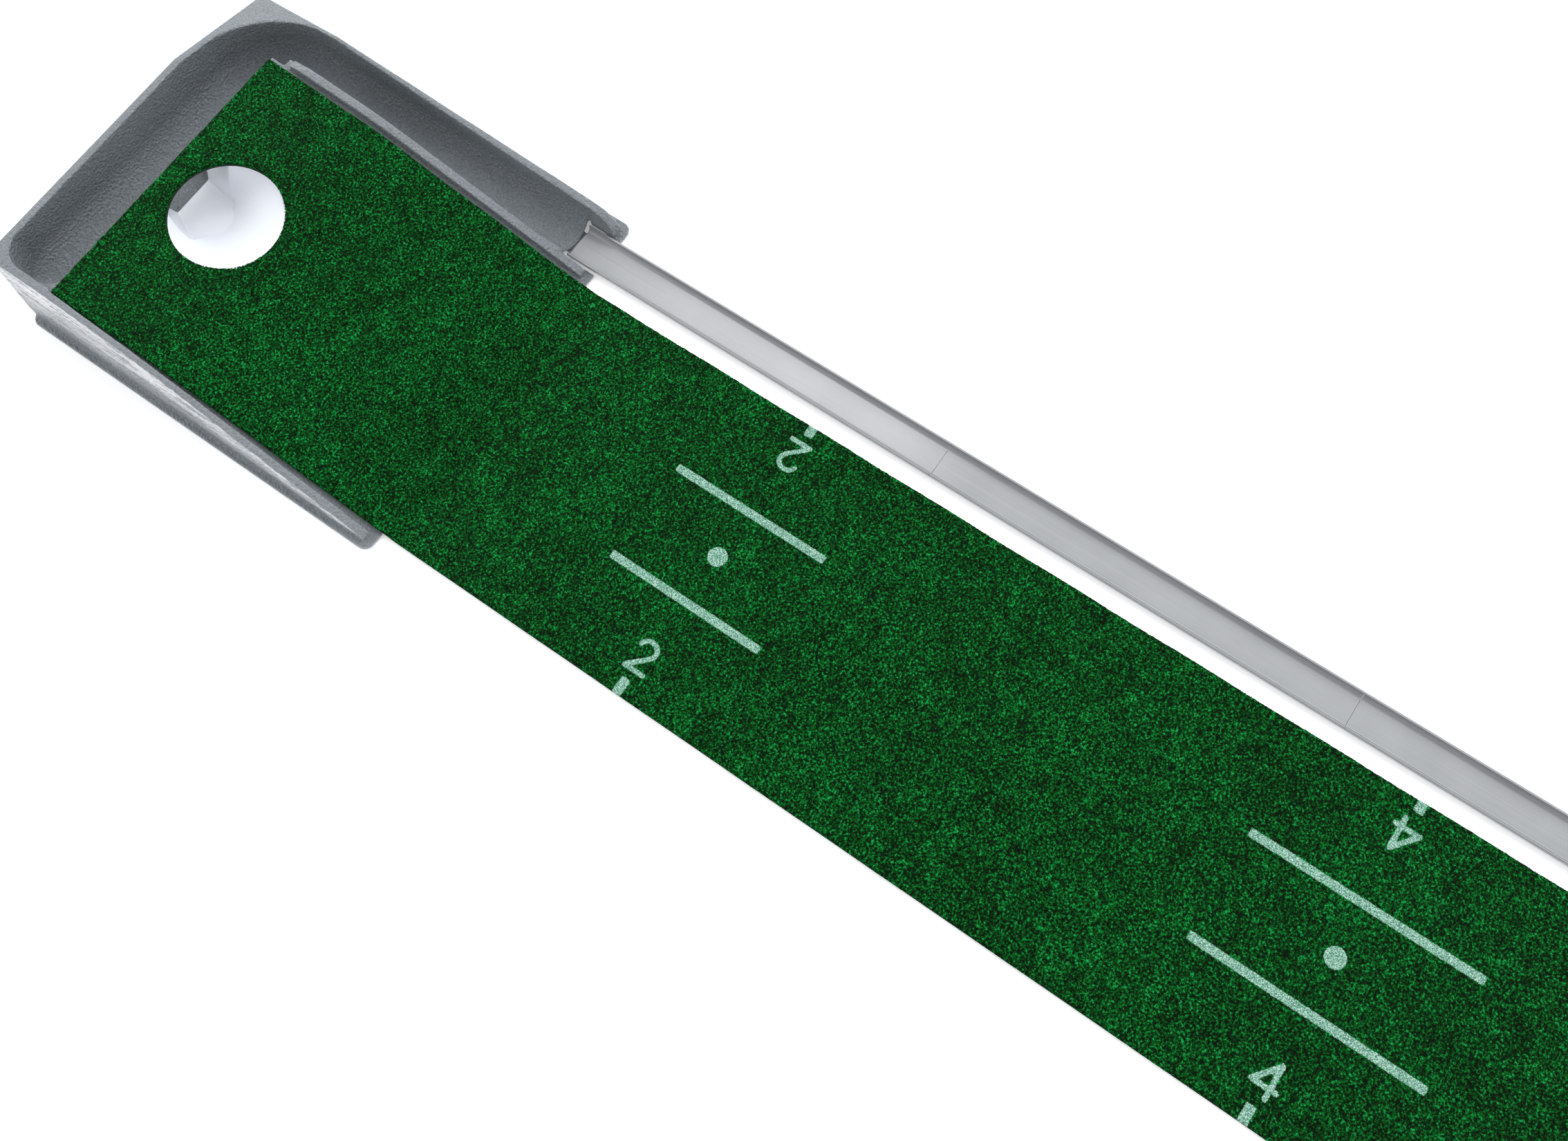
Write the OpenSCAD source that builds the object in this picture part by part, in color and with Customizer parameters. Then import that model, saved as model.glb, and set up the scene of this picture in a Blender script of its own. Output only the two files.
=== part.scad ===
// Practice putting mat: a roll-out turf strip that climbs a moulded base with a cup,
// a rear gutter that catches every ball, and a return track of plug-together sections.

/* [Turf] */
// Width of the turf strip
turf_w = 302; // [290:1:304]
// Length of the turf strip, measured along its surface
turf_len = 2438; // [1800:1:2800]
// Height of the tufted pile
pile_t = 3.5; // [2:0.1:6]
// Thickness of the rubber backing
backing_t = 1.5; // [1:0.1:3]
// Diameter of the hole cut for the cup
hole_d = 108; // [100:0.5:110]

/* [Base] */
// Height of the rear wall's rim
rim_h = 88; // [86:0.5:95]
// Depth of the base from its front lip to its rear wall
base_depth = 441; // [438:1:450]
// Wall thickness of the moulding
wall = 3; // [2.4:0.1:3.4]
// Height of the side walls above the ramp
kerb_h = 8; // [6.5:0.5:10]
// Slope of the ramp in degrees
ramp_angle = 15.1; // [13:0.1:16]
// Slope of the green around the hole in degrees
green_angle = 6.5; // [4:0.1:8]
// Distance from the front lip to the centre of the hole
hole_y = 290; // [285:1:296]

/* [Ball path] */
// Diameter of a golf ball
ball_d = 42.7; // [42.7:0.1:43]
// Height of the side gutter's floor where it feeds the track
mouth_floor = 5; // [4.5:0.1:6]
// Height of the gutter floor at the rear corner
corner_floor = 23.5; // [20:0.5:26]
// Slope of the rear gutter towards the corner in degrees
rear_fall = 2; // [1:0.1:3]

/* [Track] */
// Number of track sections
sections = 5; // [5]
// Length of one track section
section_len = 413; // [380:1:430]
// Outer width of the track
track_w = 38; // [36:0.5:40]
// Height of the track's side walls
track_h = 8; // [6:0.5:10]
// How far a section's tongue reaches under its neighbour
tongue_len = 18; // [12:1:24]

/* [Hidden] */

$fn = 96;
eps = 0.01;
far = 400;

grey = [0.56, 0.59, 0.6];
track_grey = [0.66, 0.67, 0.68];
turf_green = [0.03, 0.32, 0.13];
rubber_black = [0.07, 0.07, 0.07];
cup_white = [0.93, 0.94, 0.97];

// Everything is drawn with x = 0 on the turf's centre line and y = 0 at the base's front lip.
foot_t = 1.2;
flange_t = 2.4;
lip_z = foot_t + flange_t;
lip_y = 6;
arc_y0 = 210;
arc_y1 = 270;
green_y = 364.5;
turf_t = pile_t + backing_t;
strip_t = 0.9;
strip_recess = 1.8;
mat_gap = 0.3;
kerb_x = turf_w / 2 + 0.6;
kerb_taper = 6;
divider_left = 156.5;

// Outer faces of the base at floor level, and how far they lean in towards the top
left_x = -167;
right_x = 222;
flange_left = -174;
flange_right = 230;
flange_depth = 429;
left_lean = 5.6;
right_lean = 7;

// Gutters
gutter_r = ball_d / 2 + 0.45;
gutter_x = 187;
divider_x = gutter_x - gutter_r;
rear_front_y = green_y + 2;
run_out_y = rear_front_y + 33;
rear_back_y = base_depth - 8;
rear_r = 24;
rear_slope = 47;
corner_r = 80;
corner_x = gutter_x + gutter_r - corner_r;
corner_y = rear_back_y - corner_r;
rear_left_x = -150;
rear_left_r = 26;
mouth_y = 36;
mouth_slot = 40;
// Each length of the path starts this much wider and deeper than the one before it ends
path_step = 0.3;
side_fall = atan((corner_floor - mouth_floor) / (corner_y - mouth_y));

// Cup
pocket_r = 57;
pocket_floor = 28;
chute_floor = 31;
chute_top = 80;
chute_left_top = -23.5;
chute_right_top = 44;
cup_gap = 0.3;
cup_wall = 2;
bowl_r = 56;
seat_z = 34;
seat_r = 19;
seat_y = hole_y + 41;
seat_x = 3;

// Track
track_x = 187.5;
track_y0 = mouth_y - 2;
pad_t = 2;
track_floor_t = 1.8;
track_wall_t = 2.2;
stop_len = 28;
stop_h = 20;
tongue_w = 26;
joint_gap = 0.3;

// Heights of the deck that carries the turf
function rise(a) = tan(a);
arc_z0 = lip_z + (arc_y0 - lip_y) * rise(ramp_angle);
arc_z1 = arc_z0 + (arc_y1 - arc_y0) * (rise(ramp_angle) + rise(green_angle)) / 2;
function arc_z(y) =
    let (u = (y - arc_y0) / (arc_y1 - arc_y0))
    arc_z0 + (arc_y1 - arc_y0) * (rise(ramp_angle) * u
        + (rise(green_angle) - rise(ramp_angle)) * u * u / 2);
function deck_z(y) =
    y <= lip_y ? lip_z :
    y <= arc_y0 ? lip_z + (y - lip_y) * rise(ramp_angle) :
    y <= arc_y1 ? arc_z(y) :
    arc_z1 + (y - arc_y1) * rise(green_angle);
deck_ys = concat([lip_y], [for (i = [0:8]) arc_y0 + (arc_y1 - arc_y0) * i / 8]);

// The turf runs up from the floor to the lip over the last few millimetres
ease_len = 16;
function mat_z(y) =
    y <= -ease_len ? 0 :
    y <= 0 ? (lip_z + mat_gap) * (1 - cos(180 * (y + ease_len) / ease_len)) / 2 :
    deck_z(y) + mat_gap;
mat_ys = concat([for (i = [0:6]) -ease_len + ease_len * i / 6], deck_ys, [green_y]);
ramp_len = lip_y + (arc_y0 - lip_y) / cos(ramp_angle)
    + (arc_y1 - arc_y0) / cos((ramp_angle + green_angle) / 2)
    + (green_y - arc_y1) / cos(green_angle);
turf_y0 = -(turf_len - ramp_len);

// The object's own origin is on the floor under the middle of its outline
mid_x = (flange_left + flange_right) / 2;
mid_y = (turf_y0 + base_depth) / 2;

// Right wall: level at the rear corner, then falling in a straight line to the front
right_rim_y = 330;
right_rim_z = 72;
right_fall = 0.1165;
right_nose_r = 26;
kerb_nose_r = 7;

// ---------------------------------------------------------------- helpers

module in_place() {
    translate([-mid_x, -mid_y, 0]) children();
}

// Draws a profile given in (y, z) as a slab between two x values
module slab_x(x0, x1) {
    translate([x0, 0, 0]) rotate([90, 0, 90]) linear_extrude(x1 - x0) children();
}

// Quarter-round points from an angle to an angle
function arc_pts(cx, cy, r, a0, a1, n) =
    [for (i = [0:n]) let (a = a0 + (a1 - a0) * i / n) [cx + r * cos(a), cy + r * sin(a)]];

// Rounded rectangle from squares and circles
module round_rect(x0, y0, x1, y1, r) {
    translate([x0 + r, y0]) square([x1 - x0 - 2 * r, y1 - y0]);
    translate([x0, y0 + r]) square([x1 - x0, y1 - y0 - 2 * r]);
    for (x = [x0 + r, x1 - r], y = [y0 + r, y1 - r]) translate([x, y]) circle(r);
}

// ---------------------------------------------------------------- base form

// Height profile of a kerb that follows the deck, with a rounded nose at the front
module kerb_profile(e, y_end) {
    top = kerb_h - e;
    nose = kerb_nose_r;
    y_in = lip_y + 2 + e;
    polygon(concat(
        [[y_in, -1]],
        arc_pts(y_in + nose, deck_z(y_in) + top - nose, nose, 180, 110, 5),
        [for (y = concat(deck_ys, [green_y + 1])) if (y > y_in + nose + 2 && y < y_end - e)
            [y, min(deck_z(y) + top, rim_h - 0.15 - e)]],
        [[y_end - e, min(deck_z(y_end) + top, rim_h - 0.15 - e)], [y_end - e, -1]]
    ));
}

module deck_profile(e) {
    polygon(concat(
        [[e > 0 ? lip_y + 8 : 0, -1], [e > 0 ? lip_y + 8 : 0, deck_z(e > 0 ? lip_y + 8 : 0) - e]],
        [for (y = deck_ys) if (e == 0 || y > lip_y + 8) [y, deck_z(y) - e]],
        [[green_y + 4 + e, deck_z(green_y) - e], [green_y + 4 + e, -1]]
    ));
}

module right_profile(e) {
    y_in = lip_y + 2 + e;
    nose_z = right_rim_z - e - (right_rim_y - y_in - right_nose_r) * right_fall;
    polygon(concat(
        [[y_in, -1]],
        arc_pts(y_in + right_nose_r, nose_z - right_nose_r, right_nose_r, 180, 96, 6),
        [[right_rim_y, right_rim_z - e], [base_depth, right_rim_z + 14 - e], [base_depth, -1]]
    ));
}

// Plan of the raised body, inset by e
module body_plan(e) {
    r_left = 22 - e;
    r_right = 16 - e;
    x0 = left_x + e;
    x1 = right_x + e * -1;
    y1 = base_depth - e;
    translate([x0, -1]) square([x1 - x0, y1 + 1 - r_left]);
    translate([x0 + r_left, 0]) square([x1 - x0 - r_left - r_right, y1]);
    translate([x0 + r_left, y1 - r_left]) circle(r_left);
    translate([x1 - r_right, y1 - r_right]) circle(r_right);
    translate([x1 - r_right - 1, -1]) square([r_right + 1, y1 + 1 - r_right]);
}

// Everything above a tilted plane at the rear right corner, where the rim dips
module corner_dip(e) {
    translate([100, base_depth, rim_h - e])
        rotate([-4.95, 12.33, 0])
            translate([0, -far, 0]) cube([far, 2 * far, far]);
}

// The moulding's outer form as a solid, with every face moved in by e
module form(e) {
    difference() {
        intersection() {
            union() {
                intersection() {
                    slab_x(left_x, -kerb_x) kerb_profile(e, base_depth);
                    translate([0, 0, -2]) linear_extrude(rim_h + 10) polygon([
                        [left_x - 1, -1], [left_x - 1, base_depth], [-kerb_x - e, base_depth],
                        [-kerb_x - e, green_y], [-kerb_x - kerb_taper - e, -1]
                    ]);
                }
                slab_x(-kerb_x - kerb_taper - 2 * wall, divider_x + 1) deck_profile(e);
                if (e == 0) slab_x(divider_left, divider_x + 2) kerb_profile(0, hole_y + 55);
                slab_x(divider_x + 0.5, right_x) right_profile(e);
                translate([left_x, green_y + 2 + e, -1])
                    cube([right_x - left_x, far, rim_h + 1 - e]);
            }
            translate([0, 0, -2]) linear_extrude(rim_h + 10) body_plan(e);
        }
        corner_dip(e);
        // Leaning side faces
        translate([left_x + e, -far, 0]) rotate([0, left_lean, 0])
            translate([-far, 0, -far]) cube([far, 3 * far, 3 * far]);
        translate([right_x - e, -far, 0]) rotate([0, -right_lean, 0])
            translate([0, 0, -far]) cube([far, 3 * far, 3 * far]);
    }
}

// ---------------------------------------------------------------- ball path

// Cross-section of the rear gutter: a slope down from the turf's edge, a round floor and
// an upright back wall. Drawn from the front edge outwards, with the floor at height 0.
rear_w = rear_back_y - rear_front_y;
function gutter_section(e, x0) =
    let (r = rear_r + e, cx = x0 + rear_w - rear_r, a_end = 180 + 90 - rear_slope,
         px = cx + r * cos(a_end), pz = rear_r + r * sin(a_end))
    concat(
        [[x0 - e, 90], [x0 - e, pz + (px - x0 + e) * rise(rear_slope)]],
        [for (i = [0:12]) let (a = a_end + (360 - a_end) * i / 12)
            [cx + r * cos(a), rear_r + r * sin(a)]],
        [[cx + r, 90]]
    );

module rear_gutter(e) {
    rear_len = corner_x - rear_left_x;
    intersection() {
        translate([corner_x, rear_front_y, corner_floor]) rotate([0, rear_fall, 0])
            translate([-rear_len - 9, 0, 0]) rotate([90, 0, 90]) linear_extrude(rear_len + 9 + 6)
                polygon(gutter_section(e, 0));
        // Left end, with the same fillet between wall and floor
        translate([rear_left_x - e, base_depth, corner_floor + rear_len * rise(rear_fall)])
            rotate([90, 0, 0]) linear_extrude(base_depth) polygon(concat(
                [for (i = [0:8]) let (a = 180 + 90 * i / 8)
                    [rear_r + e + (rear_r + e) * cos(a), rear_r + (rear_r + e) * sin(a)]],
                [[rear_r + e, -60], [far, -60], [far, 90], [0, 90]]
            ));
        // Round corners in plan
        translate([0, 0, -20]) linear_extrude(200) polygon(concat(
            [[far, 0], [rear_left_x + rear_left_r + 1, 0]],
            arc_pts(rear_left_x + rear_left_r, rear_front_y - 0.6 + rear_left_r,
                rear_left_r + e, 265, 184, 7),
            arc_pts(rear_left_x + rear_left_r, rear_back_y - rear_left_r,
                rear_left_r + e, 176, 110, 7),
            [[rear_left_x + rear_left_r + 20, base_depth + 2], [far, base_depth + 2]]
        ));
    }
}

// The bend: the same section swung round the rear right corner, clear of the deck's corner
module corner_pocket(e) {
    inner_r = corner_r - rear_w;
    difference() {
        translate([corner_x, corner_y, corner_floor]) rotate([0, 0, -0.8])
            rotate_extrude(angle = 91.6) polygon(gutter_section(e + path_step, inner_r));
        translate([-far, -far, -far])
            cube([far + divider_left - e, far + rear_front_y - e + 0.4, 3 * far]);
    }
}

module side_gutter(e) {
    side_len = corner_y - mouth_y;
    r = gutter_r + e;
    translate([gutter_x, corner_y, corner_floor - 2 * path_step]) rotate([side_fall, 0, 0])
        translate([0, -side_len - 4, gutter_r]) rotate([-90, 0, 0]) {
            cylinder(r = r, h = side_len + 12);
            translate([-r, -90, 0]) cube([2 * r, 90, side_len + 12]);
        }
}

// Where the first track section plugs in: open down to the floor
module track_mouth(e) {
    half = gutter_r + 0.2 + 1.1 * e;
    translate([gutter_x - half, -30, lip_z]) cube([2 * half, 30 + mouth_y, 120]);
}

// Slot in the lip for the first section, and a pocket for its tongue behind it
module track_slot() {
    translate([track_x - mouth_slot / 2, -30, -5]) cube([mouth_slot, 30 + mouth_y, 20]);
    translate([track_x - tongue_w / 2 - 1, mouth_y - 1, -5])
        cube([tongue_w + 2, tongue_len + 5, 5 + pad_t - 0.1]);
}

// One end of the channel from the cup to the rear gutter, with sides that lean outwards
module chute_end(y, left, right, e, floor_z) {
    translate([0, y, 0]) rotate([90, 0, 0]) linear_extrude(0.2) polygon([
        [left - e, floor_z], [right + e, floor_z], [right + 6 + e, 50],
        [chute_right_top + e, chute_top], [chute_right_top + e, 124],
        [chute_left_top - e, 124], [chute_left_top - e, chute_top]
    ]);
}

module chute(e, floor_z) {
    hull() {
        chute_end(rear_front_y + 4, -8.8, 33, e, floor_z);
        chute_end(hole_y + 32, -32, 25.5, e, floor_z);
    }
}

// The channel goes on through the rear gutter's front slope, where the ball rolls out
module run_out(e) {
    side = cup_wall + cup_gap + e - 0.3;
    hull() {
        chute_end(rear_front_y + 3.6, -8.8, 33, side, chute_floor - 0.4 - e);
        chute_end(run_out_y + 0.8 * e, -8.8, 33, side, chute_floor - 0.4 - e);
    }
}

module cup_pocket(e) {
    translate([0, hole_y, pocket_floor - e]) cylinder(r = pocket_r + e, h = 90);
    chute(cup_wall + cup_gap + e, chute_floor - e);
    run_out(e);
}

// Flat ledge at deck height between the rear gutter's round corner and the left wall
module ledge(e) {
    translate([rear_left_x - 0.4 - e, green_y + 1.6 - e, deck_z(green_y) - 0.35 - e])
        cube([rear_left_r + 6 + 2 * e, rear_left_r - 4 + 2 * e, 60]);
}

module ball_path(e) {
    rear_gutter(e);
    corner_pocket(e);
    side_gutter(e);
    cup_pocket(e);
    ledge(e);
    if (e > 0) track_mouth(e);
}

// ---------------------------------------------------------------- mat fastening

// One strip lying in the deck, given by its middle, its size and its height range
module strip(x, y, len_x, len_y, z0, z1, grow) {
    slope = y < arc_y0 ? ramp_angle : green_angle;
    translate([x, y, deck_z(y)]) rotate([slope, 0, 0])
        translate([-len_x / 2 - grow, -len_y / 2 - grow, z0])
            cube([len_x + 2 * grow, len_y + 2 * grow, z1 - z0]);
}

strip_front = [0, 60, 230, 25];
strip_rear_left = [-104, 312, 70, 20];
strip_rear_right = [104, 312, 70, 20];
module strip_at(s, z0, z1, grow = 0) {
    strip(s[0], s[1], s[2], s[3], z0, z1, grow);
}

foot_places = [[-160, 16], [-160, 215], [-160, 410], [219, 16], [216, 215], [214, 410]];
foot_r = 8;

// ---------------------------------------------------------------- sub-parts

module flange() {
    translate([0, 0, foot_t]) linear_extrude(flange_t) difference() {
        union() {
            round_rect(flange_left, 0, flange_right, flange_depth, 11);
            for (p = foot_places) translate(p) circle(foot_r + 2);
        }
        difference() {
            translate([left_x + wall, lip_y + 8])
                square([right_x - left_x - 2 * wall, base_depth]);
            for (p = foot_places) translate(p) circle(foot_r + 2);
        }
    }
}

module base_tray() {
    color(grey) difference() {
        union() {
            difference() {
                form(0);
                difference() {
                    form(wall);
                    ball_path(wall);
                }
                translate([-far, -far, foot_t - far]) cube([2 * far, 3 * far, far]);
            }
            flange();
        }
        ball_path(0);
        track_mouth(0);
        track_slot();
        for (s = [strip_front, strip_rear_left, strip_rear_right])
            strip_at(s, -strip_recess, 6, 0.4);
    }
}

// Funnel inside the cup: a round mouth leaning down to the seat by the exit
module cup_bowl(e) {
    hull() {
        translate([0, hole_y, deck_z(hole_y) + 1]) rotate([green_angle, 0, 0])
            cylinder(r = bowl_r + e, h = 1, $fn = 72);
        translate([seat_x, seat_y, seat_z - e]) cylinder(r = seat_r + e, h = 1, $fn = 48);
    }
}

module cup_insert() {
    color(cup_white) difference() {
        intersection() {
            union() {
                cup_bowl(cup_wall);
                chute(cup_wall, seat_z - cup_wall);
                // Skirt and foot that stand on the pocket's floor
                translate([0, hole_y, pocket_floor]) difference() {
                    cylinder(r = pocket_r - cup_gap, h = 90);
                    translate([0, 0, -1]) cylinder(r = pocket_r - cup_gap - cup_wall, h = 92);
                }
                translate([seat_x, seat_y - 16, pocket_floor])
                    cylinder(r = 14, h = seat_z - pocket_floor - 0.5);
            }
            slab_x(-80, 80) polygon(concat(
                [[0, pocket_floor]],
                [for (y = deck_ys) [y, deck_z(y) - 0.6]],
                [[green_y, deck_z(green_y) - 0.6], [green_y, pocket_floor]]
            ));
            union() {
                translate([0, hole_y, 0]) cylinder(r = pocket_r - cup_gap, h = 120);
                chute(cup_wall + 0.1, chute_floor + cup_gap);
            }
        }
        cup_bowl(0);
        chute(0, seat_z);
    }
}

// A layer of the mat between two heights above its underside
module mat_layer(h0, h1) {
    difference() {
        slab_x(-turf_w / 2, turf_w / 2) polygon(concat(
            [[turf_y0, h0]],
            [for (y = mat_ys) [y, mat_z(y) + h0]],
            [for (i = [len(mat_ys) - 1:-1:0]) [mat_ys[i], mat_z(mat_ys[i]) + h1]],
            [[turf_y0, h1]]
        ));
        translate([0, hole_y, 0]) cylinder(d = hole_d, h = 200);
    }
}

module turf_pile() {
    color(turf_green) mat_layer(backing_t, turf_t);
}

module turf_backing() {
    color(rubber_black) mat_layer(0, backing_t);
}

module hook_strip(s) {
    color("dimgray") strip_at(s, -strip_recess, -strip_recess + strip_t);
}

module loop_strip(s) {
    color("gray") strip_at(s, -strip_recess + strip_t + 0.2, mat_gap * cos(ramp_angle) - eps);
}

// U-shaped outline with round lower corners, standing on its local floor
module u_outline(half_w, h, r) {
    translate([-half_w, r]) square([2 * half_w, h - r]);
    translate([-half_w + r, 0]) square([2 * (half_w - r), h]);
    for (s = [-1, 1]) translate([s * (half_w - r), r]) circle(r, $fn = 48);
}

module track_outline() {
    half = track_w / 2;
    bead = track_wall_t / 2;
    difference() {
        u_outline(half, track_h - bead, 4.5);
        translate([0, track_floor_t]) u_outline(half - track_wall_t, track_h, 3.6);
    }
    for (s = [-1, 1]) translate([s * (half - bead), track_h - bead]) circle(bead, $fn = 32);
}

// Tongue that reaches back under the neighbour nearer the base
module tongue() {
    translate([-tongue_w / 2, -14, 0.3]) cube([tongue_w, 14 + tongue_len, 1.3]);
    translate([-tongue_w / 2, -14, 1.6 - eps]) cube([tongue_w, 13.5, pad_t - 1.6 + 2 * eps]);
}

function section_y(i) = track_y0 - (i - 1) * section_len;

module track_section(i) {
    color(track_grey) translate([track_x, section_y(i), 0]) {
        translate([0, 0, pad_t]) rotate([90, 0, 0])
            linear_extrude(section_len - joint_gap) track_outline();
        tongue();
    }
}

// Two pads that keep a section off the floor
module track_pads(i) {
    pad = [24, 30, pad_t];
    color(rubber_black)
        for (y = [section_y(i) - 60, section_y(i) - section_len + 60 - pad[1]])
            translate([track_x - pad[0] / 2, y, 0]) cube(pad);
}

stop_y = section_y(sections + 1);
module track_end_stop() {
    color(track_grey) translate([track_x, stop_y, 0]) {
        translate([0, 0, pad_t]) rotate([90, 0, 0])
            linear_extrude(stop_len - 3) track_outline();
        translate([0, 0, pad_t]) difference() {
            translate([0, -stop_len, 0]) rotate([90, 0, 0]) mirror([0, 0, 1])
                linear_extrude(stop_len) u_outline(track_w / 2, stop_h, 4.5);
            translate([0, eps, track_floor_t]) rotate([90, 0, 0])
                linear_extrude(stop_len - 3 + eps)
                    u_outline(track_w / 2 - track_wall_t, stop_h, 3.6);
            // Side walls sweep down from the end wall to the track's height
            translate([-far / 2, 0, track_h + stop_h * 1.1]) rotate([0, 90, 0])
                cylinder(r = stop_h * 1.1, h = far);
        }
        tongue();
    }
}

module end_stop_pad() {
    color(rubber_black) translate([track_x - 12, stop_y - stop_len + 2, 0]) cube([24, 10, pad_t]);
}

module base_foot(i) {
    color(rubber_black) translate([foot_places[i - 1][0], foot_places[i - 1][1], 0])
        cylinder(r = foot_r, h = foot_t, $fn = 48);
}

// ---------------------------------------------------------------- assembly

in_place() base_tray();
in_place() cup_insert();
in_place() turf_pile();
in_place() turf_backing();
in_place() hook_strip(strip_front);  // hook_strip_front
in_place() hook_strip(strip_rear_left);  // hook_strip_rear_left
in_place() hook_strip(strip_rear_right);  // hook_strip_rear_right
in_place() loop_strip(strip_front);  // loop_strip_front
in_place() loop_strip(strip_rear_left);  // loop_strip_rear_left
in_place() loop_strip(strip_rear_right);  // loop_strip_rear_right
for (i = [1:5]) {
    in_place() track_section(i);
    in_place() track_pads(i);
}
in_place() track_end_stop();
in_place() end_stop_pad();
for (i = [1:6])
    in_place() base_foot(i);
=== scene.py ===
import bpy
import math
import numpy as np
from mathutils import Matrix, Vector


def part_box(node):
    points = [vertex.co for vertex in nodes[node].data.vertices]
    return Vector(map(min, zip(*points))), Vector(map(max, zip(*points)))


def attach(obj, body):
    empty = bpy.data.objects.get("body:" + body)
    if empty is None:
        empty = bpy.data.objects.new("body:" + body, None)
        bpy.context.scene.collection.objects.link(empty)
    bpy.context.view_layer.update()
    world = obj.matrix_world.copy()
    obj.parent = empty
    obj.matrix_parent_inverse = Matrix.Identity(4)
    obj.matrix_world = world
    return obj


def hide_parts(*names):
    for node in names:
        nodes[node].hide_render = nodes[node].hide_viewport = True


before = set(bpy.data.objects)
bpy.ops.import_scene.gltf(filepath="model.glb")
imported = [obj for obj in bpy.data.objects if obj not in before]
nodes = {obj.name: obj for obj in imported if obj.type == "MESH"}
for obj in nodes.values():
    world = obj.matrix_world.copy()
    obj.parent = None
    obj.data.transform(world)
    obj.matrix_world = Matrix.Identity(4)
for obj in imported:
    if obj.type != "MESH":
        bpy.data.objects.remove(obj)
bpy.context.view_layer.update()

scene = bpy.context.scene
MM = 0.001

# ------------------------------------------------------------------ places
# Positions are given in millimetres from the turf's centre line (x), the base's front lip (y)
# and the floor (z), and at() turns them into the frame.
tray_lo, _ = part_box("base_tray")
turf_lo, turf_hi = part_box("turf_pile")
X0 = (turf_lo.x + turf_hi.x) / 2
Y0 = tray_lo.y
TURF_HALF = (turf_hi.x - turf_lo.x) / 2 / MM
TURF_END = (turf_lo.y - Y0) / MM


def at(x, y, z):
    return Vector((X0 + x * MM, Y0 + y * MM, z * MM))


# ------------------------------------------------------------------ camera
CAM_SENSOR_WIDTH = 36.0
CAM_LENS = 34.647
CAM_CLIP_END = 50
CAM_PLACE = (-307.7, -620.0, 1262.9)
CAM_TURN = Matrix(((0.571044, 0.782748, -0.247415),
                  (-0.819714, 0.527363, -0.223511),
                  (-0.044475, 0.330444, 0.942777)))
cam_data = bpy.data.cameras.new("camera")
cam_data.sensor_fit = "HORIZONTAL"
cam_data.sensor_width = CAM_SENSOR_WIDTH
cam_data.lens = CAM_LENS
cam_data.clip_end = CAM_CLIP_END
camera = bpy.data.objects.new("camera", cam_data)
scene.collection.objects.link(camera)
camera.matrix_world = Matrix.Translation(at(*CAM_PLACE)) @ CAM_TURN.to_4x4()
scene.camera = camera


# ------------------------------------------------------------------ material helpers
def is_socket(v):
    return hasattr(v, "is_output")


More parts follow.
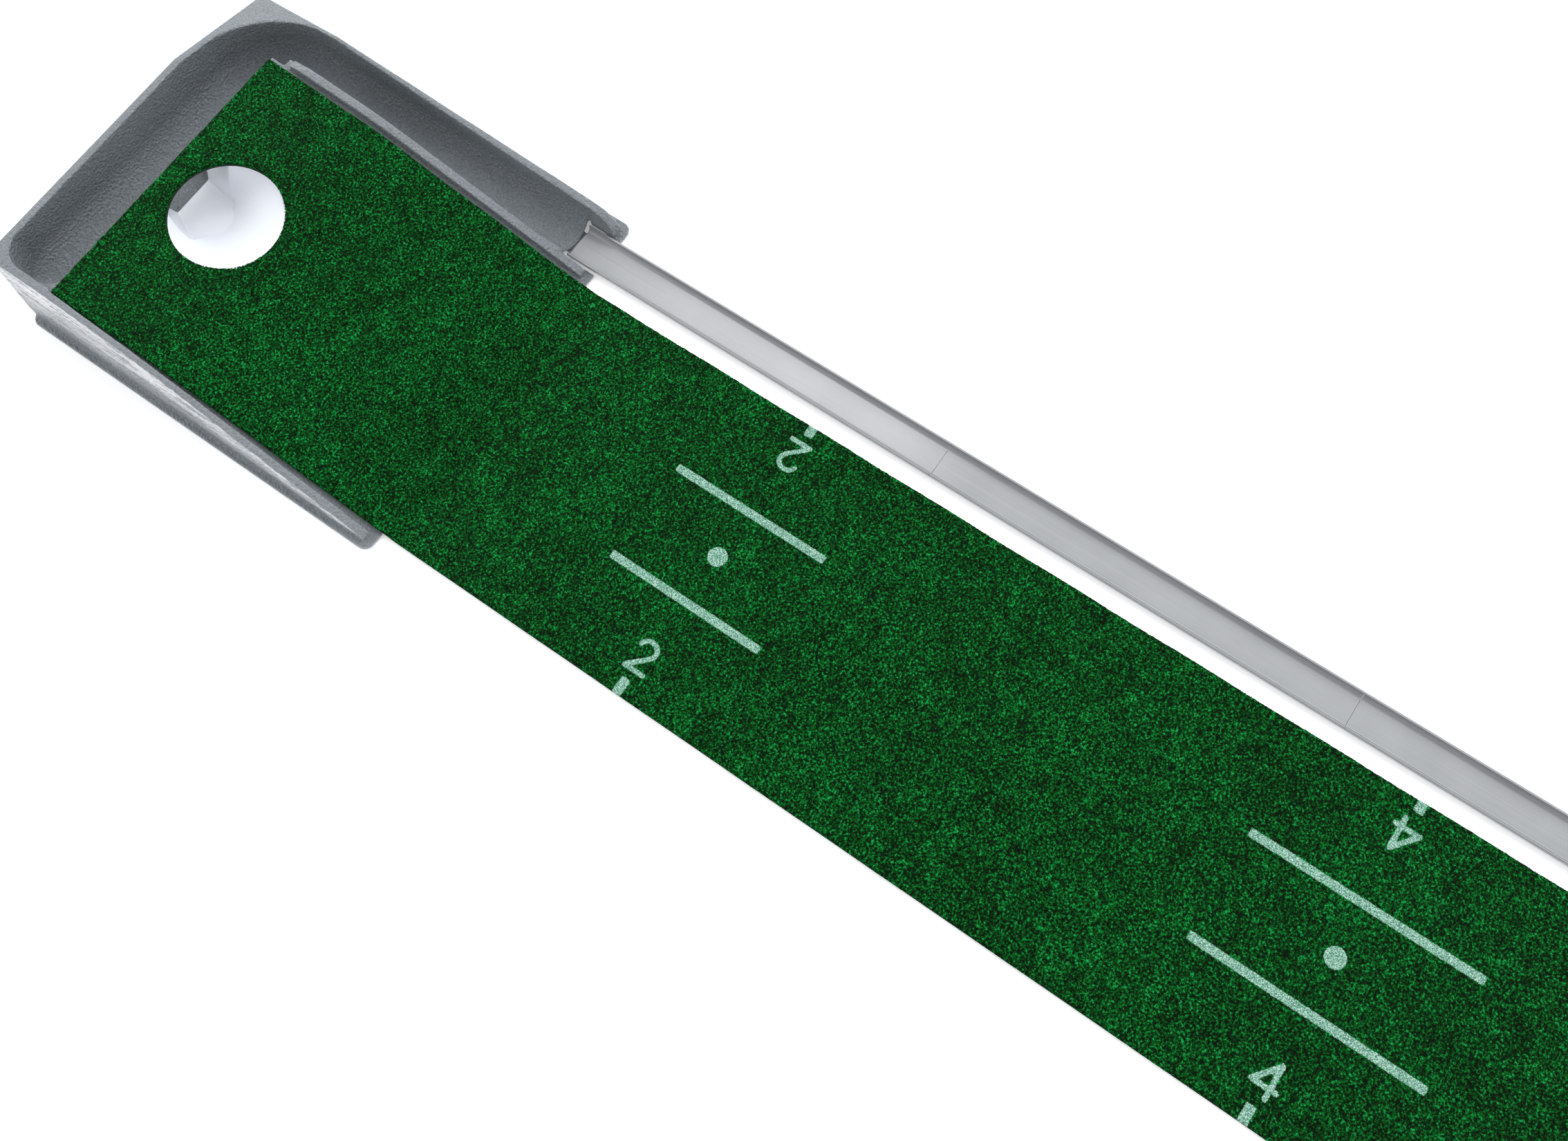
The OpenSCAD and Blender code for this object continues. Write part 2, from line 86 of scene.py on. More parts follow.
class Mat:
    """A node material with short calls for the nodes used here."""

    def __init__(self, name, **inputs):
        self.mat = bpy.data.materials.new(name)
        self.mat.use_nodes = True
        self.nt = self.mat.node_tree
        self.nt.nodes.clear()
        surface = self.nt.nodes.new("ShaderNodeOutputMaterial")
        self.bsdf = self.nt.nodes.new("ShaderNodeBsdfPrincipled")
        self.link(self.bsdf.outputs[0], surface.inputs[0])
        self.pos = self.nt.nodes.new("ShaderNodeTexCoord").outputs["Object"]
        for k, v in inputs.items():
            self.bsdf.inputs[k.replace("_", " ")].default_value = v

    def link(self, a, b):
        self.nt.links.new(a, b)

    def node(self, kind, out=0, props=None, **inputs):
        """Adds a node; an input is called by its name, or by its number as i0, i1 and so on."""
        n = self.nt.nodes.new(kind)
        for k, v in (props or {}).items():
            setattr(n, k, v)
        for k, v in inputs.items():
            key = int(k[1:]) if k[0] == "i" and k[1:].isdigit() else k.replace("_", " ")
            if is_socket(v):
                self.link(v, n.inputs[key])
            else:
                n.inputs[key].default_value = v
        return n.outputs[out]

    def math(self, op, a, b=0.0, c=0.0, clamp=False):
        return self.node("ShaderNodeMath", props={"operation": op, "use_clamp": clamp},
                         i0=a, i1=b, i2=c)

    def blend(self, *parts):
        """Sum of (value, weight) pairs."""
        total = self.math("MULTIPLY", *parts[0])
        for value, weight in parts[1:]:
            total = self.math("ADD", total, self.math("MULTIPLY", value, weight))
        return total

    def scaled(self, x, y, z):
        return self.node("ShaderNodeMapping", Vector=self.pos, Scale=(x, y, z))

    def noise(self, scale, detail=2.0, rough=0.5, vec=None, distort=0.0):
        return self.node("ShaderNodeTexNoise", Vector=vec or self.pos, Scale=scale,
                         Detail=detail, Roughness=rough, Distortion=distort)

    def voronoi(self, scale, feature="F1", random=1.0):
        return self.node("ShaderNodeTexVoronoi", props={"feature": feature},
                         Vector=self.pos, Scale=scale, Randomness=random)

    def ramp(self, fac, *stops, smooth=False):
        n = self.nt.nodes.new("ShaderNodeValToRGB")
        if smooth:
            n.color_ramp.interpolation = "EASE"
        e = n.color_ramp.elements
        while len(e) < len(stops):
            e.new(0.5)
        for el, (p, c) in zip(e, stops):
            el.position = p
            el.color = (*c, 1) if hasattr(c, "__len__") else (c, c, c, 1)
        self.link(fac, n.inputs[0])
        return n.outputs[0]

    def mix(self, fac, a, b):
        n = self.nt.nodes.new("ShaderNodeMix")
        n.data_type = "RGBA"
        # Inputs 0, 6 and 7 are the factor and the two colours
        for key, v in ((0, fac), (6, a), (7, b)):
            if is_socket(v):
                self.link(v, n.inputs[key])
            else:
                n.inputs[key].default_value = v if key == 0 else (*v, 1)
        return n.outputs[2]

    def attribute(self, name):
        return self.node("ShaderNodeAttribute", out=2, props={"attribute_name": name})

    def color(self, v):
        self.link(v, self.bsdf.inputs["Base Color"])

    def rough(self, v):
        self.link(v, self.bsdf.inputs["Roughness"])

    def bump(self, height, distance, strength=1.0, after=None):
        n = self.nt.nodes.new("ShaderNodeBump")
        n.inputs["Strength"].default_value = strength
        n.inputs["Distance"].default_value = distance
        self.link(height, n.inputs["Height"])
        if after is not None:
            self.link(after, n.inputs["Normal"])
        self.link(n.outputs[0], self.bsdf.inputs["Normal"])
        return n.outputs[0]


# ------------------------------------------------------------------ materials
GREY_DARK, GREY_PALE = (0.17, 0.19, 0.203), (0.24, 0.262, 0.277)
# Pale streaks on the outer walls: draw marks and painted highlight
DRAW_AND_HIGHLIGHT_WHITE = (0.9, 0.9, 0.92)
# Rubbed edges, also a painted highlight on the rims
WORN_AND_HIGHLIGHT_GREY = (0.6, 0.62, 0.64)
CUP_SHADE, CUP_WHITE = (0.76, 0.785, 0.835), (0.80, 0.82, 0.865)
# The darkest pile colour is painted shade deep in the pile, and the palest is painted light on
# the tips
PILE_DEEP_SHADE, PILE_DARK = (0.0001, 0.0035, 0.0002), (0.0001, 0.033, 0.002)
PILE_GREEN, PILE_LIT_TIP = (0.0002, 0.096, 0.009), (0.008, 0.32, 0.070)
PILE_SHEEN = (0.4, 0.9, 0.55, 1)
INK_THIN, INK_MID, INK_FULL = (0.035, 0.15, 0.085), (0.17, 0.36, 0.27), (0.50, 0.70, 0.60)
YARN_DARK, YARN_GREEN = (0.001, 0.03, 0.004), (0.012, 0.13, 0.03)
TRACK_DARK, TRACK_PALE = (0.25, 0.256, 0.264), (0.305, 0.311, 0.319)
BACKING_DARK, BACKING_PALE = (0.012, 0.012, 0.012), (0.03, 0.03, 0.03)
PAD_DARK, PAD_PALE = (0.016, 0.016, 0.017), (0.04, 0.04, 0.042)
HOOK_TONE, LOOP_TONE = (0.02, 0.02, 0.022), (0.03, 0.03, 0.032)


def base_material():
    """Grey moulded plastic: leathery grain, pale streaks on the outer walls that are draw marks
    and painted highlight, and rims rubbed paler with a painted highlight.
    """
    m = Mat("base_plastic", Roughness=0.36, Specular_IOR_Level=0.7)
    cloud = m.noise(9, 3, 0.55)
    fine = m.noise(420, 2, 0.6)
    tone = m.blend((cloud, 0.45), (fine, 0.55))
    body = m.ramp(tone, (0.3, GREY_DARK), (0.7, GREY_PALE))
    # Pale streaks run along the outer walls under the rim: draw marks where the hot sheet was
    # stretched, and painted highlight, reflections on the wavy wall painted into the colour
    band = m.noise(1.0, 4, 0.55, vec=m.scaled(30, 9, 120), distort=1.6)
    pale = m.ramp(band, (0.40, 0.15), (0.54, 1.0), smooth=True)
    amount = m.math("MULTIPLY", m.attribute("draw_and_highlight"), pale)
    body = m.mix(m.math("MULTIPLY", amount, 0.9), body, DRAW_AND_HIGHLIGHT_WHITE)
    # Edges are rubbed paler, and the paler rims are also a painted highlight
    geometry = m.nt.nodes.new("ShaderNodeNewGeometry")
    edge = m.ramp(geometry.outputs["Pointiness"], (0.52, 0.0), (0.58, 1.0), smooth=True)
    worn_and_highlight = m.math("MULTIPLY", edge, m.ramp(m.noise(60, 3, 0.6), (0.35, 0.3), (0.65, 0.8)))
    m.color(m.mix(worn_and_highlight, body, WORN_AND_HIGHLIGHT_GREY))
    m.rough(m.ramp(m.noise(140, 2, 0.6), (0.3, 0.24), (0.7, 0.38)))
    pebble = m.voronoi(430, "SMOOTH_F1")
    wrinkle = m.noise(620, 3, 0.65, distort=1.2)
    grain = m.bump(m.blend((pebble, 0.8), (wrinkle, 0.6)), 0.003, 0.9)
    m.bump(m.noise(60, 2, 0.5), 0.0006, 0.3, after=grain)
    return m.mat


def cup_material():
    """Smooth white plastic, slightly uneven."""
    m = Mat("cup_plastic", Roughness=0.2, Specular_IOR_Level=0.5)
    m.color(m.ramp(m.noise(14, 2, 0.5), (0.3, CUP_SHADE), (0.7, CUP_WHITE)))
    m.rough(m.ramp(m.noise(180, 2, 0.5), (0.35, 0.17), (0.65, 0.27)))
    m.bump(m.noise(40, 2, 0.5), 0.0004, 0.18)
    return m.mat


def turf_material():
    """Short dense pile, mottled green with painted shade deep in the pile and between tufts and
    painted light on the tips, with the printed marks in speckled pale ink.
    """
    m = Mat("turf", Roughness=0.92, Specular_IOR_Level=0.06, Sheen_Weight=0.05,
            Sheen_Roughness=0.6, Sheen_Tint=PILE_SHEEN)
    curl = m.noise(520, 3, 0.7)
    tuft = m.voronoi(400)
    patch = m.noise(60, 3, 0.6)
    wide = m.noise(7, 2, 0.5)
    # Painted shade: the tufts' cells darken towards their edges, and the ramp runs from painted
    # shade deep in the pile to painted light on the tips
    tone = m.blend((curl, 0.88), (tuft, -0.12), (patch, 0.13), (wide, 0.06))
    green = m.ramp(tone, (0.41, PILE_DEEP_SHADE), (0.478, PILE_DARK), (0.55, PILE_GREEN),
                   (0.645, PILE_LIT_TIP))
    ink = m.ramp(m.noise(980, 2, 0.75), (0.36, INK_THIN), (0.50, INK_MID), (0.62, INK_FULL))
    # The attribute is the distance to the nearest mark in millimetres, negative inside it
    ragged = m.math("MULTIPLY_ADD", m.math("SUBTRACT", curl, 0.5), 3.2, m.attribute("print"))
    inside = m.math("MULTIPLY_ADD", ragged, -0.5, 0.5, clamp=True)
    mask = m.ramp(inside, (0.35, 0.0), (0.65, 1.0))
    m.color(m.mix(m.math("MULTIPLY", mask, 0.93), green, ink))
    m.bump(m.math("ADD", curl, m.math("MULTIPLY", tuft, -0.6)), 0.0016, 0.8)
    return m.mat


def fringe_material():
    m = Mat("turf_yarn", Roughness=0.9, Specular_IOR_Level=0.1)
    m.color(m.ramp(m.noise(500, 2, 0.6), (0.35, YARN_DARK), (0.65, YARN_GREEN)))
    m.bump(m.noise(1500, 1, 0.5), 0.0003, 0.4)
    return m.mat


def track_material():
    """Glossy extruded plastic with faint lines along its length."""
    m = Mat("track_plastic", Specular_IOR_Level=0.5, Roughness=0.16)
    line = m.noise(1.0, 3, 0.6, vec=m.scaled(900, 3, 900))
    cloud = m.noise(22, 2, 0.5)
    tone = m.blend((line, 0.5), (cloud, 0.5))
    m.color(m.ramp(tone, (0.3, TRACK_DARK), (0.7, TRACK_PALE)))
    m.rough(m.ramp(line, (0.3, 0.11), (0.7, 0.2)))
    drawn = m.bump(line, 0.00006, 0.5)
    m.bump(m.noise(700, 2, 0.6), 0.00004, 0.35, after=drawn)
    return m.mat


def rubber_material(name, dark, pale, scale):
    m = Mat(name, Roughness=0.78, Specular_IOR_Level=0.3)
    m.color(m.ramp(m.noise(scale, 3, 0.6), (0.3, dark), (0.7, pale)))
    m.bump(m.voronoi(scale * 3), 0.0004, 0.5)
    return m.mat


def tape_material(name, scale, tone):
    """Hook or loop tape: rows of small stiff hooks, or a felted nap."""
    m = Mat(name, Roughness=0.85, Specular_IOR_Level=0.2, Sheen_Weight=0.3)
    dots = m.voronoi(scale, random=0.25)
    m.color(m.ramp(dots, (0.1, tuple(t * 2.2 for t in tone)), (0.6, tone)))
    m.bump(dots, -0.0008, 0.9)
    return m.mat


MATS = {
    "base_plastic": base_material(),
    "cup_plastic": cup_material(),
    "turf": turf_material(),
    "yarn": fringe_material(),
    "track_plastic": track_material(),
    "backing_rubber": rubber_material("backing_rubber", BACKING_DARK, BACKING_PALE, 300),
    "pad_rubber": rubber_material("pad_rubber", PAD_DARK, PAD_PALE, 420),
    "hook_tape": tape_material("hook_tape", 700, HOOK_TONE),
    "loop_tape": tape_material("loop_tape", 1400, LOOP_TONE),
}


def dress(obj, mat):
    obj.data.materials.clear()
    obj.data.materials.append(mat)


# CAD nodes that stay keep their shape and get their real surface
NODE_MATS = [
    (("track_section", "track_end_stop"), "track_plastic"),
    (("track_pads", "end_stop_pad", "base_foot"), "pad_rubber"),
    (("hook",), "hook_tape"),
    (("loop",), "loop_tape"),
    (("turf_backing",), "backing_rubber"),
]
for name, node in nodes.items():
    for starts, slot in NODE_MATS:
        if not name.startswith(starts):
            continue
        if not node.material_slots:
            node.data.materials.append(MATS[slot])
        for material_slot in node.material_slots:
            material_slot.material = MATS[slot]


# ------------------------------------------------------------------ mesh helpers
def mesh_object(name, verts, faces, smooth=True):
    me = bpy.data.meshes.new(name)
    me.from_pydata([tuple(v) for v in verts], [], [tuple(f) for f in faces])
    me.update()
    o = bpy.data.objects.new(name, me)
    scene.collection.objects.link(o)
    if smooth:
        me.polygons.foreach_set("use_smooth", [True] * len(me.polygons))
    return o


def moulded_copy(node, name, voxel, rounds):
    """A copy of a CAD node with its edges rounded as a moulding's are."""
    o = bpy.data.objects.new(name, nodes[node].data.copy())
    scene.collection.objects.link(o)
    o.data.materials.clear()
    r = o.modifiers.new("fine", "REMESH")
    r.mode = "VOXEL"
    r.voxel_size = voxel
    r.use_smooth_shade = True
    s = o.modifiers.new("round", "SMOOTH")
    s.factor = 0.5
    s.iterations = rounds
    dg = bpy.context.evaluated_depsgraph_get()
    me = bpy.data.meshes.new_from_object(o.evaluated_get(dg))
    o.modifiers.clear()
    o.data = me
    return o


def read_vertices(o, what):
    values = np.empty(len(o.data.vertices) * 3, np.float32)
    o.data.vertices.foreach_get(what, values)
    return values.reshape(-1, 3)


def add_attribute(o, name, values):
    spread = o.data.attributes.new(name, "FLOAT", "POINT")
    spread.data.foreach_set("value", values.astype(np.float32))


# ------------------------------------------------------------------ base tray
TRAY_VOXEL, TRAY_ROUNDS = 1.25 * MM, 7
LEFT_WALL_X, RIGHT_WALL_X, REAR_WALL_Y = -150, 205, 437
WAVE_DEPTH = 0.22
# Share of the left wall's pale streaks, draw marks and painted highlight, that the right and rear
# walls show
FAR_WALL_DRAW_AND_HIGHLIGHT = 0.25
RIM_Y, RIM_Z = [8, 210, 270, 360], [14, 66, 78, 88]

tray = moulded_copy("base_tray", "base_moulding", TRAY_VOXEL, TRAY_ROUNDS)
co = read_vertices(tray, "co")
nrm = read_vertices(tray, "normal")
x_mm = (co[:, 0] - X0) / MM
y_mm = (co[:, 1] - Y0) / MM
z_mm = co[:, 2] / MM


def facing(axis, sign):
    """1 where a face looks straight along an axis, fading to 0 as it turns away."""
    return np.clip((sign * nrm[:, axis] - 0.8) / 0.15, 0, 1)


# The left wall's outer face is slightly wavy from front to rear
wave = (np.sin(y_mm * 0.42 + 1.3 * np.sin(z_mm * 0.06 + y_mm * 0.03))
        + 0.7 * np.sin(y_mm * 0.93 + 2.1 + 0.9 * np.sin(z_mm * 0.09)))
left_wall = facing(0, -1) * (x_mm < LEFT_WALL_X)
off_floor = np.clip((z_mm - 6) / 10, 0, 1)
co[:, 0] += (wave * left_wall * off_floor * WAVE_DEPTH * MM).astype(np.float32)
tray.data.vertices.foreach_set("co", co.ravel())
tray.data.update()
# The pale streaks, draw marks and painted highlight, are full on the left wall's outer face and
# weaker on the right and rear walls
outer = (left_wall
         + FAR_WALL_DRAW_AND_HIGHLIGHT * (x_mm > RIGHT_WALL_X) * facing(0, 1)
         + FAR_WALL_DRAW_AND_HIGHLIGHT * (y_mm > REAR_WALL_Y) * facing(1, 1))
up_wall = z_mm / np.interp(y_mm, RIM_Y, RIM_Z)
add_attribute(tray, "draw_and_highlight", outer * np.clip((up_wall - 0.15) / 0.55, 0, 1))
dress(tray, MATS["base_plastic"])
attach(tray, "base")
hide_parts("base_tray")

# ------------------------------------------------------------------ cup
CUP_VOXEL, CUP_ROUNDS = 0.8 * MM, 6
cup = moulded_copy("cup_insert", "cup_moulding", CUP_VOXEL, CUP_ROUNDS)
dress(cup, MATS["cup_plastic"])
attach(cup, "base")
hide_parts("cup_insert")


# ------------------------------------------------------------------ turf
# Heights of the deck: a flat lip, the ramp, a curve, and the green round the hole
LIP_Y, LIP_Z = 6, 3.6
ARC0, ARC1, GREEN_Y = 210, 270, 364.5
RAMP, GREEN = math.tan(math.radians(15.1)), math.tan(math.radians(6.5))
# The mat rises from the floor to the lip over EASE, and lies MAT_GAP above the deck
EASE, MAT_GAP = 16, 0.3
BACK_T, PILE_Z = 1.5, 5.0
HOLE_Y, HOLE_R = 290, 54
# Distances between the pile's points and between yarn roots, and points that trace the curve
TURF_STEP, YARN_STEP = 2.0, 0.9
CURVE_POINTS = 1500


def deck_z(y):
    z0 = LIP_Z + (ARC0 - LIP_Y) * RAMP
    z1 = z0 + (ARC1 - ARC0) * (RAMP + GREEN) / 2
    if y <= LIP_Y:
        return LIP_Z
    if y <= ARC0:
        return LIP_Z + (y - LIP_Y) * RAMP
    if y <= ARC1:
        u = (y - ARC0) / (ARC1 - ARC0)
        return z0 + (ARC1 - ARC0) * (RAMP * u + (GREEN - RAMP) * u * u / 2)
    return z1 + (y - ARC1) * GREEN


def mat_z(y):
    """Height of the mat's underside."""
    if y <= -EASE:
        return 0.0
    if y <= 0:
        return (LIP_Z + MAT_GAP) * (1 - math.cos(math.pi * (y + EASE) / EASE)) / 2
    return deck_z(y) + MAT_GAP


def surface_rows(step):
    """(y, z) of the mat's underside at equal steps along its surface, and its length."""
    ys = np.concatenate([[TURF_END], np.linspace(-EASE, GREEN_Y, CURVE_POINTS)])
    zs = np.array([mat_z(v) for v in ys])
    run = np.concatenate([[0], np.cumsum(np.hypot(np.diff(ys), np.diff(zs)))])
    s = np.linspace(0, run[-1], int(run[-1] / step) + 1)
    return np.interp(s, run, ys), np.interp(s, run, zs), run[-1]


# Printed marks: at each distance in feet a dot, two lines, a tick at each edge and two numerals.
# MARK_REACH past its lines a mark has no print, and points there keep the distance NO_PRINT.
DOT_R = 9.25
LINE_X, LINE_HALF_W = 50.2, 3.9
TICKS = [(-143.5, 8.5), (147, 6.5)]
TICK_HALF_H = 4.4
NUMERAL_LEFT_X, NUMERAL_RIGHT_X, NUMERAL_HALF_STROKE = -111, 117, 2.2
MARK_REACH, NO_PRINT = 40, 12.0


def stroke_sdf(x, y, pts, half):
    """Distance from points to a polyline, less half its stroke."""
    best = np.full(x.shape, 1e9)
    for (ax, ay), (bx, by) in zip(pts[:-1], pts[1:]):
        dx, dy = bx - ax, by - ay
        t = np.clip(((x - ax) * dx + (y - ay) * dy) / (dx * dx + dy * dy), 0, 1)
        best = np.minimum(best, np.hypot(x - ax - t * dx, y - ay - t * dy))
    return best - half


def box_sdf(x, y, cx, cy, hx, hy):
    dx, dy = np.abs(x - cx) - hx, np.abs(y - cy) - hy
    return np.hypot(np.maximum(dx, 0), np.maximum(dy, 0)) + np.minimum(np.maximum(dx, dy), 0)


def arc(cx, cy, rx, ry, a0, a1, n=14):
    turn = [math.radians(a0 + (a1 - a0) * i / n) for i in range(n + 1)]
    return [(cx + rx * math.cos(a), cy + ry * math.sin(a)) for a in turn]


# Plain numerals in a 22 by 33 mm box around the origin, x across and y up
NUMERALS = {
    2: [arc(0, 6.6, 8.8, 8.0, 165, -38) + [(-9.6, -14.6), (10.2, -14.6)]],
    4: [[(6.0, -15.0), (6.0, 14.6), (-10.6, -6.6), (11.4, -6.6)]],
    6: [arc(0, -5.6, 9.0, 8.8, 0, 360, 24), arc(3.4, -4.6, 12.4, 19.4, 180, 98)],
}
# Distance in feet, y of the mark, half the length of its lines
MARKS = [(2, -265.2, 80.9), (4, -874.8, 105.0), (6, -1484.4, 130.0)]


def print_sdf(x, y):
    """Distance from points to the nearest printed mark, negative inside it."""
    d = np.full(x.shape, NO_PRINT)
    for number, cy, half_line in MARKS:
        near = np.abs(y - cy) < half_line + MARK_REACH
        xx, yy = x[near], y[near]
        shapes = [np.hypot(xx, yy - cy) - DOT_R]
        shapes += [box_sdf(xx, yy, s * LINE_X, cy, LINE_HALF_W, half_line) for s in (-1, 1)]
        shapes += [box_sdf(xx, yy, tx, cy, half_w, TICK_HALF_H) for tx, half_w in TICKS]
        for pts in NUMERALS[number]:
            # The left numeral's top is towards the middle, and the right one is turned round
            shapes.append(stroke_sdf(-(yy - cy), xx - NUMERAL_LEFT_X, pts, NUMERAL_HALF_STROKE))
            shapes.append(stroke_sdf(yy - cy, -(xx - NUMERAL_RIGHT_X), pts,
                                     NUMERAL_HALF_STROKE))
        for shape in shapes:
            d[near] = np.minimum(d[near], shape)
    return d


# How unevenly the tufts stand, and how far the cut edges bow in and out
TUFT_HEIGHT, TUFT_DROP, TUFT_TOP, TUFT_LEAN = 0.22, -0.6, 0.45, 0.35
EDGE_BOW, EDGE_NOISE, EDGE_OUT = 0.35, 0.16, -0.3
# The skirts end just above the backing
SKIRT_GAP = 0.05


def pile_grid(step):
    """The pile's top as rows of uneven points, and the length of the mat."""
    rng = np.random.default_rng(11)
    ys, zs, length = surface_rows(step)
    nx = int(round(2 * TURF_HALF / step)) + 1
    X, Y = np.meshgrid(np.linspace(-TURF_HALF, TURF_HALF, nx), ys)
    Z = np.repeat(zs[:, None], nx, 1) + PILE_Z
    rough = rng.normal(0, 1, X.shape)
    soft = (rough + np.roll(rough, 1, 0) + np.roll(rough, 1, 1)
            + np.roll(rough, (1, 1), (0, 1))) / 2
    Z = Z + np.clip(soft * TUFT_HEIGHT, TUFT_DROP, TUFT_TOP) - TUFT_TOP
    inner = np.zeros(X.shape, bool)
    inner[1:-1, 1:-1] = True
    X = X + inner * rng.uniform(-TUFT_LEAN, TUFT_LEAN, X.shape)
    Y = Y + inner * rng.uniform(-TUFT_LEAN, TUFT_LEAN, X.shape)
    edge_wave = EDGE_BOW * np.sin(Y * 0.05) + rng.normal(0, EDGE_NOISE, X.shape)
    X[:, 0] += np.maximum(edge_wave[:, 0], EDGE_OUT)
    X[:, -1] -= np.maximum(edge_wave[:, -1], EDGE_OUT)
    return X, Y, Z, length


def make_turf(step):
    X, Y, Z, length = pile_grid(step)
    quad = np.arange(X.size).reshape(X.shape)
    f = np.stack([quad[:-1, :-1], quad[:-1, 1:], quad[1:, 1:], quad[1:, :-1]],
                 -1).reshape(-1, 4)
    P = np.stack([X.ravel(), Y.ravel(), Z.ravel()], 1)
    # The hole: faces with a corner or two inside it stay, and those corners move to its rim
    in_hole = np.hypot(P[:, 0], P[:, 1] - HOLE_Y) < HOLE_R
    f = f[in_hole[f].sum(1) < 3]
    used = np.unique(f)
    ring = used[in_hole[used]]
    v = P[ring, :2] - [0, HOLE_Y]
    P[ring, :2] = [0, HOLE_Y] + v / np.linalg.norm(v, axis=1, keepdims=True) * HOLE_R
    # Skirts down to the backing, at the outline and round the hole
    directed = np.concatenate([f[:, [0, 1]], f[:, [1, 2]], f[:, [2, 3]], f[:, [3, 0]]])
    _, first, count = np.unique(np.sort(directed, 1), axis=0, return_index=True,
                                return_counts=True)
    border = directed[first[count == 1]]
    rim = np.unique(border)
    low = P[rim].copy()
    low[:, 2] = [mat_z(y) + BACK_T + SKIRT_GAP for y in low[:, 1]]
    lower = {int(b): len(P) + i for i, b in enumerate(rim)}
    skirts = np.array([[b, a, lower[int(a)], lower[int(b)]] for a, b in border])
    P = np.concatenate([P, low])
    f = np.concatenate([f, skirts])
    # Only the points in use are kept
    used = np.unique(f)
    remap = np.full(len(P), -1)
    remap[used] = np.arange(len(used))
    P, f = P[used], remap[f]
    o = mesh_object("turf", P * MM + [X0, Y0, 0], f)
    add_attribute(o, "print", print_sdf(P[:, 0], P[:, 1]))
    return o, length


turf, turf_length = make_turf(TURF_STEP)
dress(turf, MATS["turf"])
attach(turf, "mat")
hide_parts("turf_pile")

# Heights at which the loose yarn leaves the edges and the hole's rim, and the lowest it may hang
YARN_HEIGHTS, RIM_YARN_HEIGHTS, YARN_FLOOR = (2.2, 4.2), (2.4, 4.4), 0.6
# How far inside each edge it is rooted, and the ranges of each strand's shape
SIDE_INSET, FRONT_INSET, REAR_INSET, RIM_INSET = 0.5, 0.5, 0.4, 0.3
YARN_WIDTH, YARN_REACH, YARN_RISE, YARN_LEAN = (0.18, 0.34), (0.2, 1.3), (-0.3, 0.9), 0.8


def yarn_roots(rng):
    """(x, y, z) of each yarn end's root and the (x, y) direction that it points in."""
    ys, zs, _ = surface_rows(YARN_STEP)
    roots = []
    for side in (-1, 1):
        for y, z in zip(ys, zs):
            for _ in range(2):
                roots.append((side * (TURF_HALF - SIDE_INSET), y + rng.uniform(-0.5, 0.5),
                              z + rng.uniform(*YARN_HEIGHTS), side, 0))
    for x in np.arange(-TURF_HALF, TURF_HALF, YARN_STEP):
        roots.append((x, TURF_END + FRONT_INSET, rng.uniform(*YARN_HEIGHTS), 0, -1))
        roots.append((x, GREEN_Y - REAR_INSET, mat_z(GREEN_Y) + rng.uniform(*YARN_HEIGHTS), 0, 1))
    rim_r = HOLE_R + RIM_INSET
    for a in np.arange(0, 2 * math.pi, YARN_STEP / HOLE_R):
        y = HOLE_Y + rim_r * math.sin(a)
        for _ in range(2):
            roots.append((rim_r * math.cos(a), y, mat_z(y) + rng.uniform(*RIM_YARN_HEIGHTS),
                          -math.cos(a), -math.sin(a)))
    return roots


def make_fringe():
    """Loose yarn ends along the cut edges and round the hole."""
    rng = np.random.default_rng(23)
    verts, faces = [], []
    for x, y, z, dx, dy in yarn_roots(rng):
        w = rng.uniform(*YARN_WIDTH)
        reach = rng.uniform(*YARN_REACH)
        up = rng.uniform(*YARN_RISE)
        along = rng.uniform(-YARN_LEAN, YARN_LEAN)
        i = len(verts)
        # Root, waist and tip of one flat strand: how far out, along the edge and up
        for out, side, lift in ((0, -w, 0), (0, w, 0),
                                (reach * 0.6, along * 0.5 + w * 0.7, up * 0.7),
                                (reach * 0.6, along * 0.5 - w * 0.7, up * 0.7),
                                (reach, along, up)):
            verts.append((x + dx * out - dy * side, y + dy * out + dx * side, z + lift))
        faces += [(i, i + 1, i + 2, i + 3), (i + 3, i + 2, i + 4)]
    P = np.array(verts)
    P[:, 2] = np.maximum(P[:, 2], YARN_FLOOR)
    return mesh_object("turf_edge_yarn", P * MM + [X0, Y0, 0], faces, smooth=False)


fringe = make_fringe()
dress(fringe, MATS["yarn"])
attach(fringe, "mat")

# ------------------------------------------------------------------ floor and light
FLOOR_HALF = 9
FLOOR_GLOW = 0.30
FLOOR_TONES = (0.90, 0.90, 0.905), (0.93, 0.93, 0.935)
floor_mat = Mat("floor", Roughness=0.6, Specular_IOR_Level=0.2, Emission_Color=(1, 1, 1, 1),
                Emission_Strength=FLOOR_GLOW)
floor_mat.color(floor_mat.ramp(floor_mat.noise(2, 2, 0.5), (0.3, FLOOR_TONES[0]),
                               (0.7, FLOOR_TONES[1])))
corners = [(FLOOR_HALF * sx, FLOOR_HALF * sy, 0)
           for sx, sy in ((-1, -1), (1, -1), (1, 1), (-1, 1))]
floor = mesh_object("floor", corners, [(0, 1, 2, 3)])
dress(floor, floor_mat.mat)

scene.view_settings.view_transform = "Standard"
# Bright walls of light round about and little from overhead, with soft glows behind
SKY_TINT = (0.965, 0.98, 1.0, 1)
ZENITH, HORIZON, HORIZON_POWER = 0.36, 0.9, 2.0
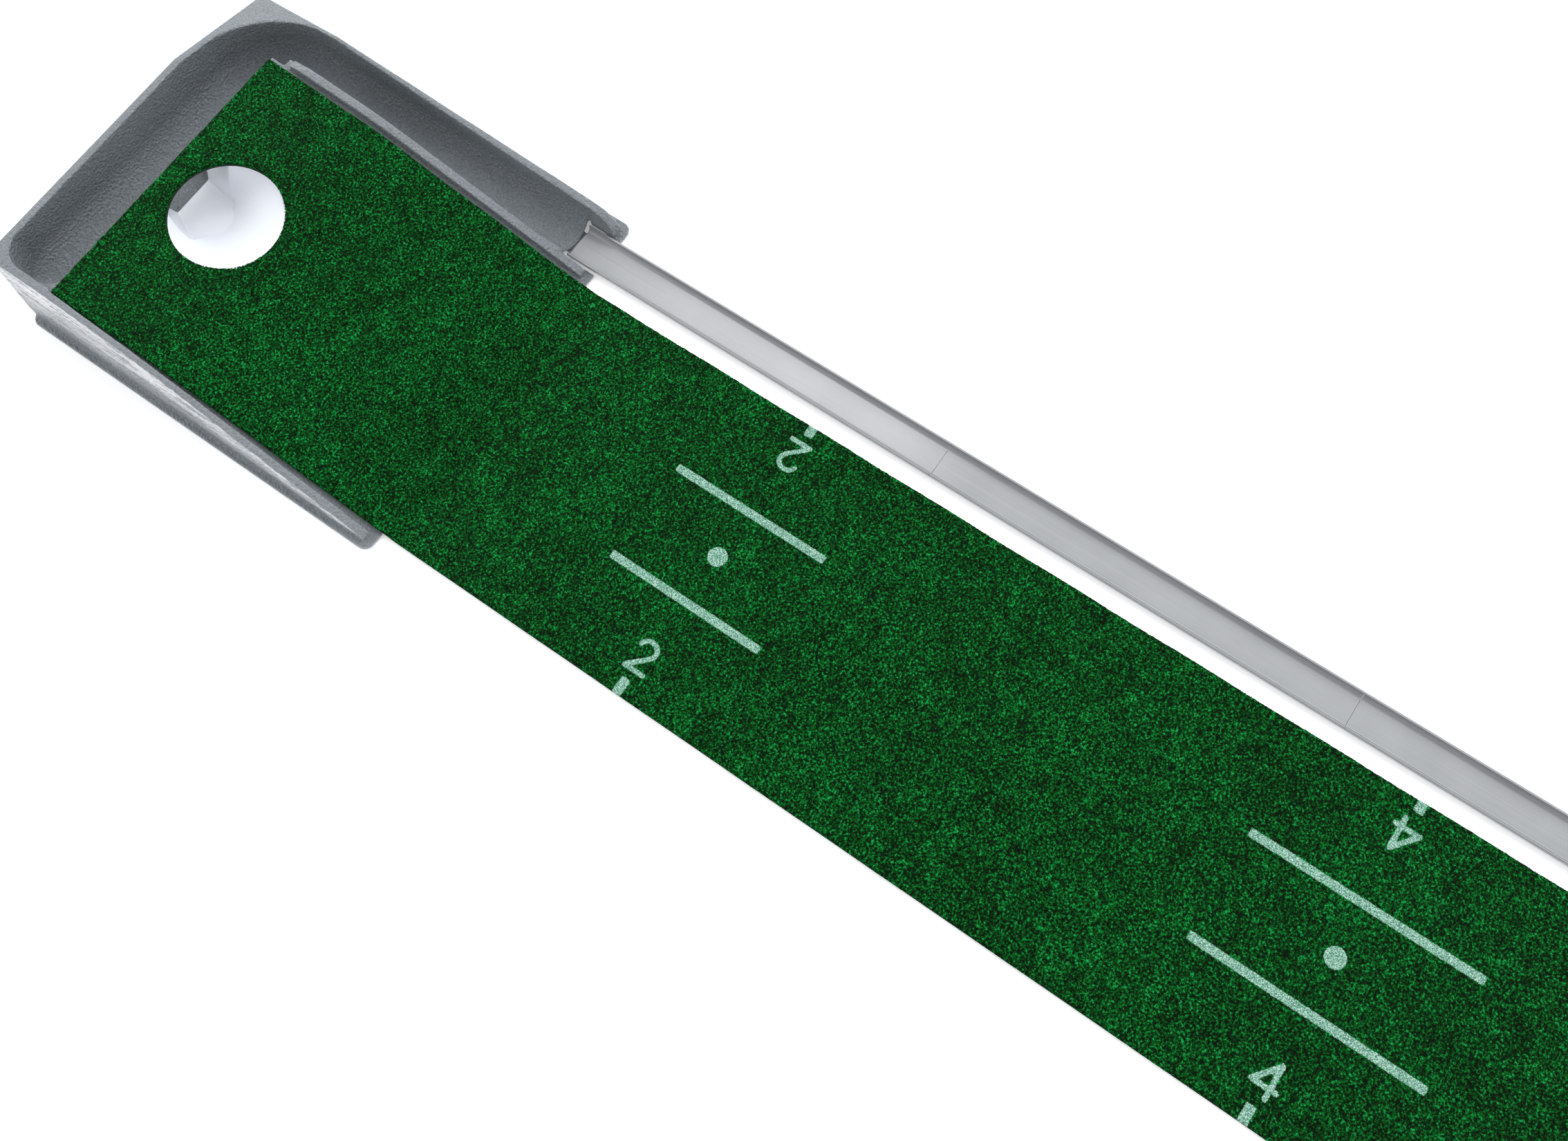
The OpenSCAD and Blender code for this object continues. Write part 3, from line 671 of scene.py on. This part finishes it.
# Each glow: the direction it comes from, how narrow it is, how strong it is
GLOWS = [((-0.35, 0.75, 0.56), 6.0, 1.8), ((0.66, -0.05, 0.75), 6.0, 3.5)]
world = bpy.data.worlds.new("studio")
world.use_nodes = True
wt = world.node_tree
back = wt.nodes["Background"]
back.inputs[0].default_value = SKY_TINT
coord = wt.nodes.new("ShaderNodeTexCoord")


def world_math(op, a, b, c=None):
    n = wt.nodes.new("ShaderNodeMath")
    n.operation = op
    for i, v in enumerate((a, b, c)):
        if is_socket(v):
            wt.links.new(v, n.inputs[i])
        elif v is not None:
            n.inputs[i].default_value = v
    return n.outputs[0]


def world_glow(toward, sharp, strength, base):
    dot = wt.nodes.new("ShaderNodeVectorMath")
    dot.operation = "DOT_PRODUCT"
    dot.inputs[1].default_value = Vector(toward).normalized()
    wt.links.new(coord.outputs["Generated"], dot.inputs[0])
    lobe = world_math("POWER", world_math("MAXIMUM", dot.outputs["Value"], 0.0), sharp)
    return world_math("MULTIPLY_ADD", lobe, strength, base)


rise = wt.nodes.new("ShaderNodeSeparateXYZ")
wt.links.new(coord.outputs["Generated"], rise.inputs[0])
low_down = world_math("SUBTRACT", 1.0, world_math("MAXIMUM", rise.outputs[2], 0.0))
level = world_math("MULTIPLY_ADD", world_math("POWER", low_down, HORIZON_POWER), HORIZON,
                   ZENITH)
for toward, sharp, strength in GLOWS:
    level = world_glow(toward, sharp, strength, level)
wt.links.new(level, back.inputs[1])
scene.world = world


def softbox(name, place, target, size, power):
    data = bpy.data.lights.new(name, "AREA")
    data.shape = "RECTANGLE"
    data.size, data.size_y = size
    data.energy = power
    o = bpy.data.objects.new(name, data)
    scene.collection.objects.link(o)
    o.location = place
    o.rotation_euler = (Vector(target) - Vector(place)).to_track_quat("-Z", "Y").to_euler()


# A box that shines straight down; the small step in y only settles which way it is turned
LIGHT_X, LIGHT_Y, LIGHT_Z, LIGHT_STEP = 1168, 592, 2500, 0.1
LIGHT_SIZE, LIGHT_POWER = (0.6, 0.975), 8.5
softbox("track_light", at(LIGHT_X, LIGHT_Y, LIGHT_Z), at(LIGHT_X, LIGHT_Y + LIGHT_STEP, 0),
        LIGHT_SIZE, LIGHT_POWER)
